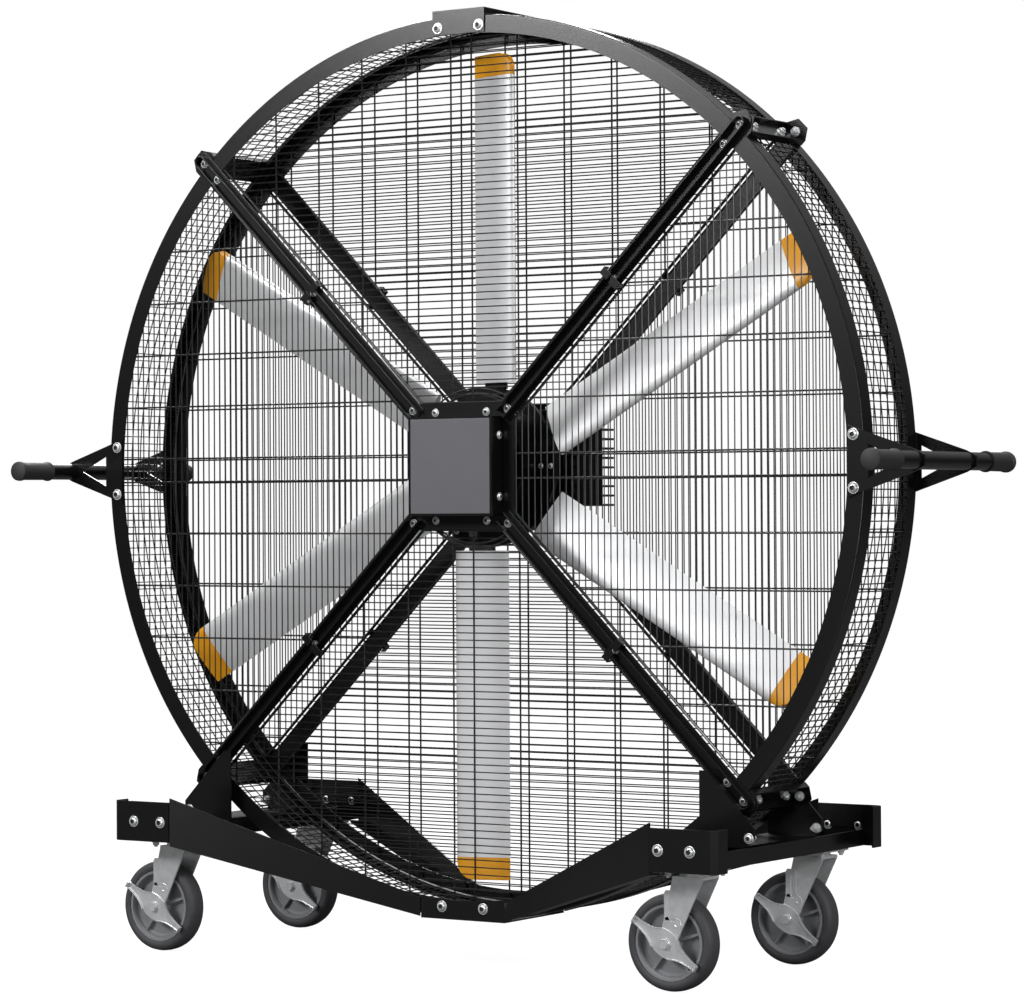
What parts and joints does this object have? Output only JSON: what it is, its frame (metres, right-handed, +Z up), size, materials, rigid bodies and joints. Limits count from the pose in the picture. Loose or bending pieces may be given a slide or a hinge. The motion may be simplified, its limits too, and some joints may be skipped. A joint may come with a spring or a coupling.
{
  "type": "wheeled drum fan",
  "caption": "Large guarded drum fan with pitched blades on a direct-drive hub, on a low folded steel base with braked swivel casters and push handles.",
  "frame": {"origin": "on the floor under the middle of the drum", "axes": "+Z up, +Y from the front of the fan to its back, +X to the right as seen from the front"},
  "size_m": [2.254, 0.74, 2.0946],
  "materials": {
    "black_paint": "satin",
    "guard_wire": "satin",
    "cover_plastic": "satin",
    "motor_paint": "satin",
    "blade_aluminium": "satin",
    "tip_plastic": "gloss",
    "grip_rubber": "matte",
    "zinc_steel": "satin",
    "rim_plastic": "satin",
    "tyre_rubber": "matte"
  },
  "bodies": {
    "frame": {"front_ring": "black_paint", "rear_ring": "black_paint", "drum_mesh": "black_paint", "front_spokes": "black_paint", "rear_spokes": "black_paint", "front_hub_frame": "black_paint", "rear_hub_frame": "black_paint", "top_strap": "black_paint", "bottom_strap": "black_paint", "corner_ties": "black_paint", "handle_plates": "black_paint", "base_corners": "black_paint", "base_beams": "black_paint", "side_channels": "black_paint", "saddles": "black_paint", "front_guard_top": "guard_wire", "front_guard_left": "guard_wire", "front_guard_bottom": "guard_wire", "front_guard_right": "guard_wire", "rear_guard_top": "guard_wire", "rear_guard_left": "guard_wire", "rear_guard_bottom": "guard_wire", "rear_guard_right": "guard_wire", "front_cover": "cover_plastic", "motor_housing": "motor_paint", "drive_housing": "motor_paint", "handle_tubes": "black_paint", "handle_grips": "grip_rubber", "caster_plates": "zinc_steel"},
    "rotor": {"rotor_hub": "motor_paint", "blade_tips": "tip_plastic", "blade_1": "blade_aluminium", "blade_2": "blade_aluminium", "blade_3": "blade_aluminium", "blade_4": "blade_aluminium", "blade_5": "blade_aluminium", "blade_6": "blade_aluminium"},
    "caster_front_left_swivel": {"caster_front_left_fork": "zinc_steel"},
    "caster_front_left_wheel": {"caster_front_left_rim": "rim_plastic", "caster_front_left_tyre": "tyre_rubber"},
    "caster_front_left_brake": {"caster_front_left_brake_lever": "zinc_steel"},
    "caster_front_right_swivel": {"caster_front_right_fork": "zinc_steel"},
    "caster_front_right_wheel": {"caster_front_right_rim": "rim_plastic", "caster_front_right_tyre": "tyre_rubber"},
    "caster_front_right_brake": {"caster_front_right_brake_lever": "zinc_steel"},
    "caster_rear_left_swivel": {"caster_rear_left_fork": "zinc_steel"},
    "caster_rear_left_wheel": {"caster_rear_left_rim": "rim_plastic", "caster_rear_left_tyre": "tyre_rubber"},
    "caster_rear_left_brake": {"caster_rear_left_brake_lever": "zinc_steel"},
    "caster_rear_right_swivel": {"caster_rear_right_fork": "zinc_steel"},
    "caster_rear_right_wheel": {"caster_rear_right_rim": "rim_plastic", "caster_rear_right_tyre": "tyre_rubber"},
    "caster_rear_right_brake": {"caster_rear_right_brake_lever": "zinc_steel"}
  },
  "joints": [
    {"name": "rotor_spin", "type": "hinge", "parent": "frame", "child": "rotor", "pos_m": [0, 0, 1.09], "axis": [0, -1, 0], "continuous": true},
    {"name": "caster_front_left_swivel", "type": "hinge", "parent": "frame", "child": "caster_front_left_swivel", "pos_m": [-0.669, -0.26, 0.25], "axis": [0, 0, 1], "continuous": true},
    {"name": "caster_front_left_roll", "type": "hinge", "parent": "caster_front_left_swivel", "child": "caster_front_left_wheel", "pos_m": [-0.721, -0.26, 0.1016], "axis": [0, 1, 0], "continuous": true},
    {"name": "caster_front_left_brake", "type": "hinge", "parent": "caster_front_left_swivel", "child": "caster_front_left_brake", "pos_m": [-0.721, -0.26, 0.1016], "axis": [0, 1, 0], "range_deg": [-18, 0]},
    {"name": "caster_front_right_swivel", "type": "hinge", "parent": "frame", "child": "caster_front_right_swivel", "pos_m": [0.669, -0.26, 0.25], "axis": [0, 0, 1], "continuous": true},
    {"name": "caster_front_right_roll", "type": "hinge", "parent": "caster_front_right_swivel", "child": "caster_front_right_wheel", "pos_m": [0.617, -0.26, 0.1016], "axis": [0, 1, 0], "continuous": true},
    {"name": "caster_front_right_brake", "type": "hinge", "parent": "caster_front_right_swivel", "child": "caster_front_right_brake", "pos_m": [0.617, -0.26, 0.1016], "axis": [0, 1, 0], "range_deg": [-18, 0]},
    {"name": "caster_rear_left_swivel", "type": "hinge", "parent": "frame", "child": "caster_rear_left_swivel", "pos_m": [-0.669, 0.26, 0.25], "axis": [0, 0, 1], "continuous": true},
    {"name": "caster_rear_left_roll", "type": "hinge", "parent": "caster_rear_left_swivel", "child": "caster_rear_left_wheel", "pos_m": [-0.721, 0.26, 0.1016], "axis": [0, 1, 0], "continuous": true},
    {"name": "caster_rear_left_brake", "type": "hinge", "parent": "caster_rear_left_swivel", "child": "caster_rear_left_brake", "pos_m": [-0.721, 0.26, 0.1016], "axis": [0, 1, 0], "range_deg": [-18, 0]},
    {"name": "caster_rear_right_swivel", "type": "hinge", "parent": "frame", "child": "caster_rear_right_swivel", "pos_m": [0.669, 0.26, 0.25], "axis": [0, 0, 1], "continuous": true},
    {"name": "caster_rear_right_roll", "type": "hinge", "parent": "caster_rear_right_swivel", "child": "caster_rear_right_wheel", "pos_m": [0.617, 0.26, 0.1016], "axis": [0, 1, 0], "continuous": true},
    {"name": "caster_rear_right_brake", "type": "hinge", "parent": "caster_rear_right_swivel", "child": "caster_rear_right_brake", "pos_m": [0.617, 0.26, 0.1016], "axis": [0, 1, 0], "range_deg": [-18, 0]}
  ]
}
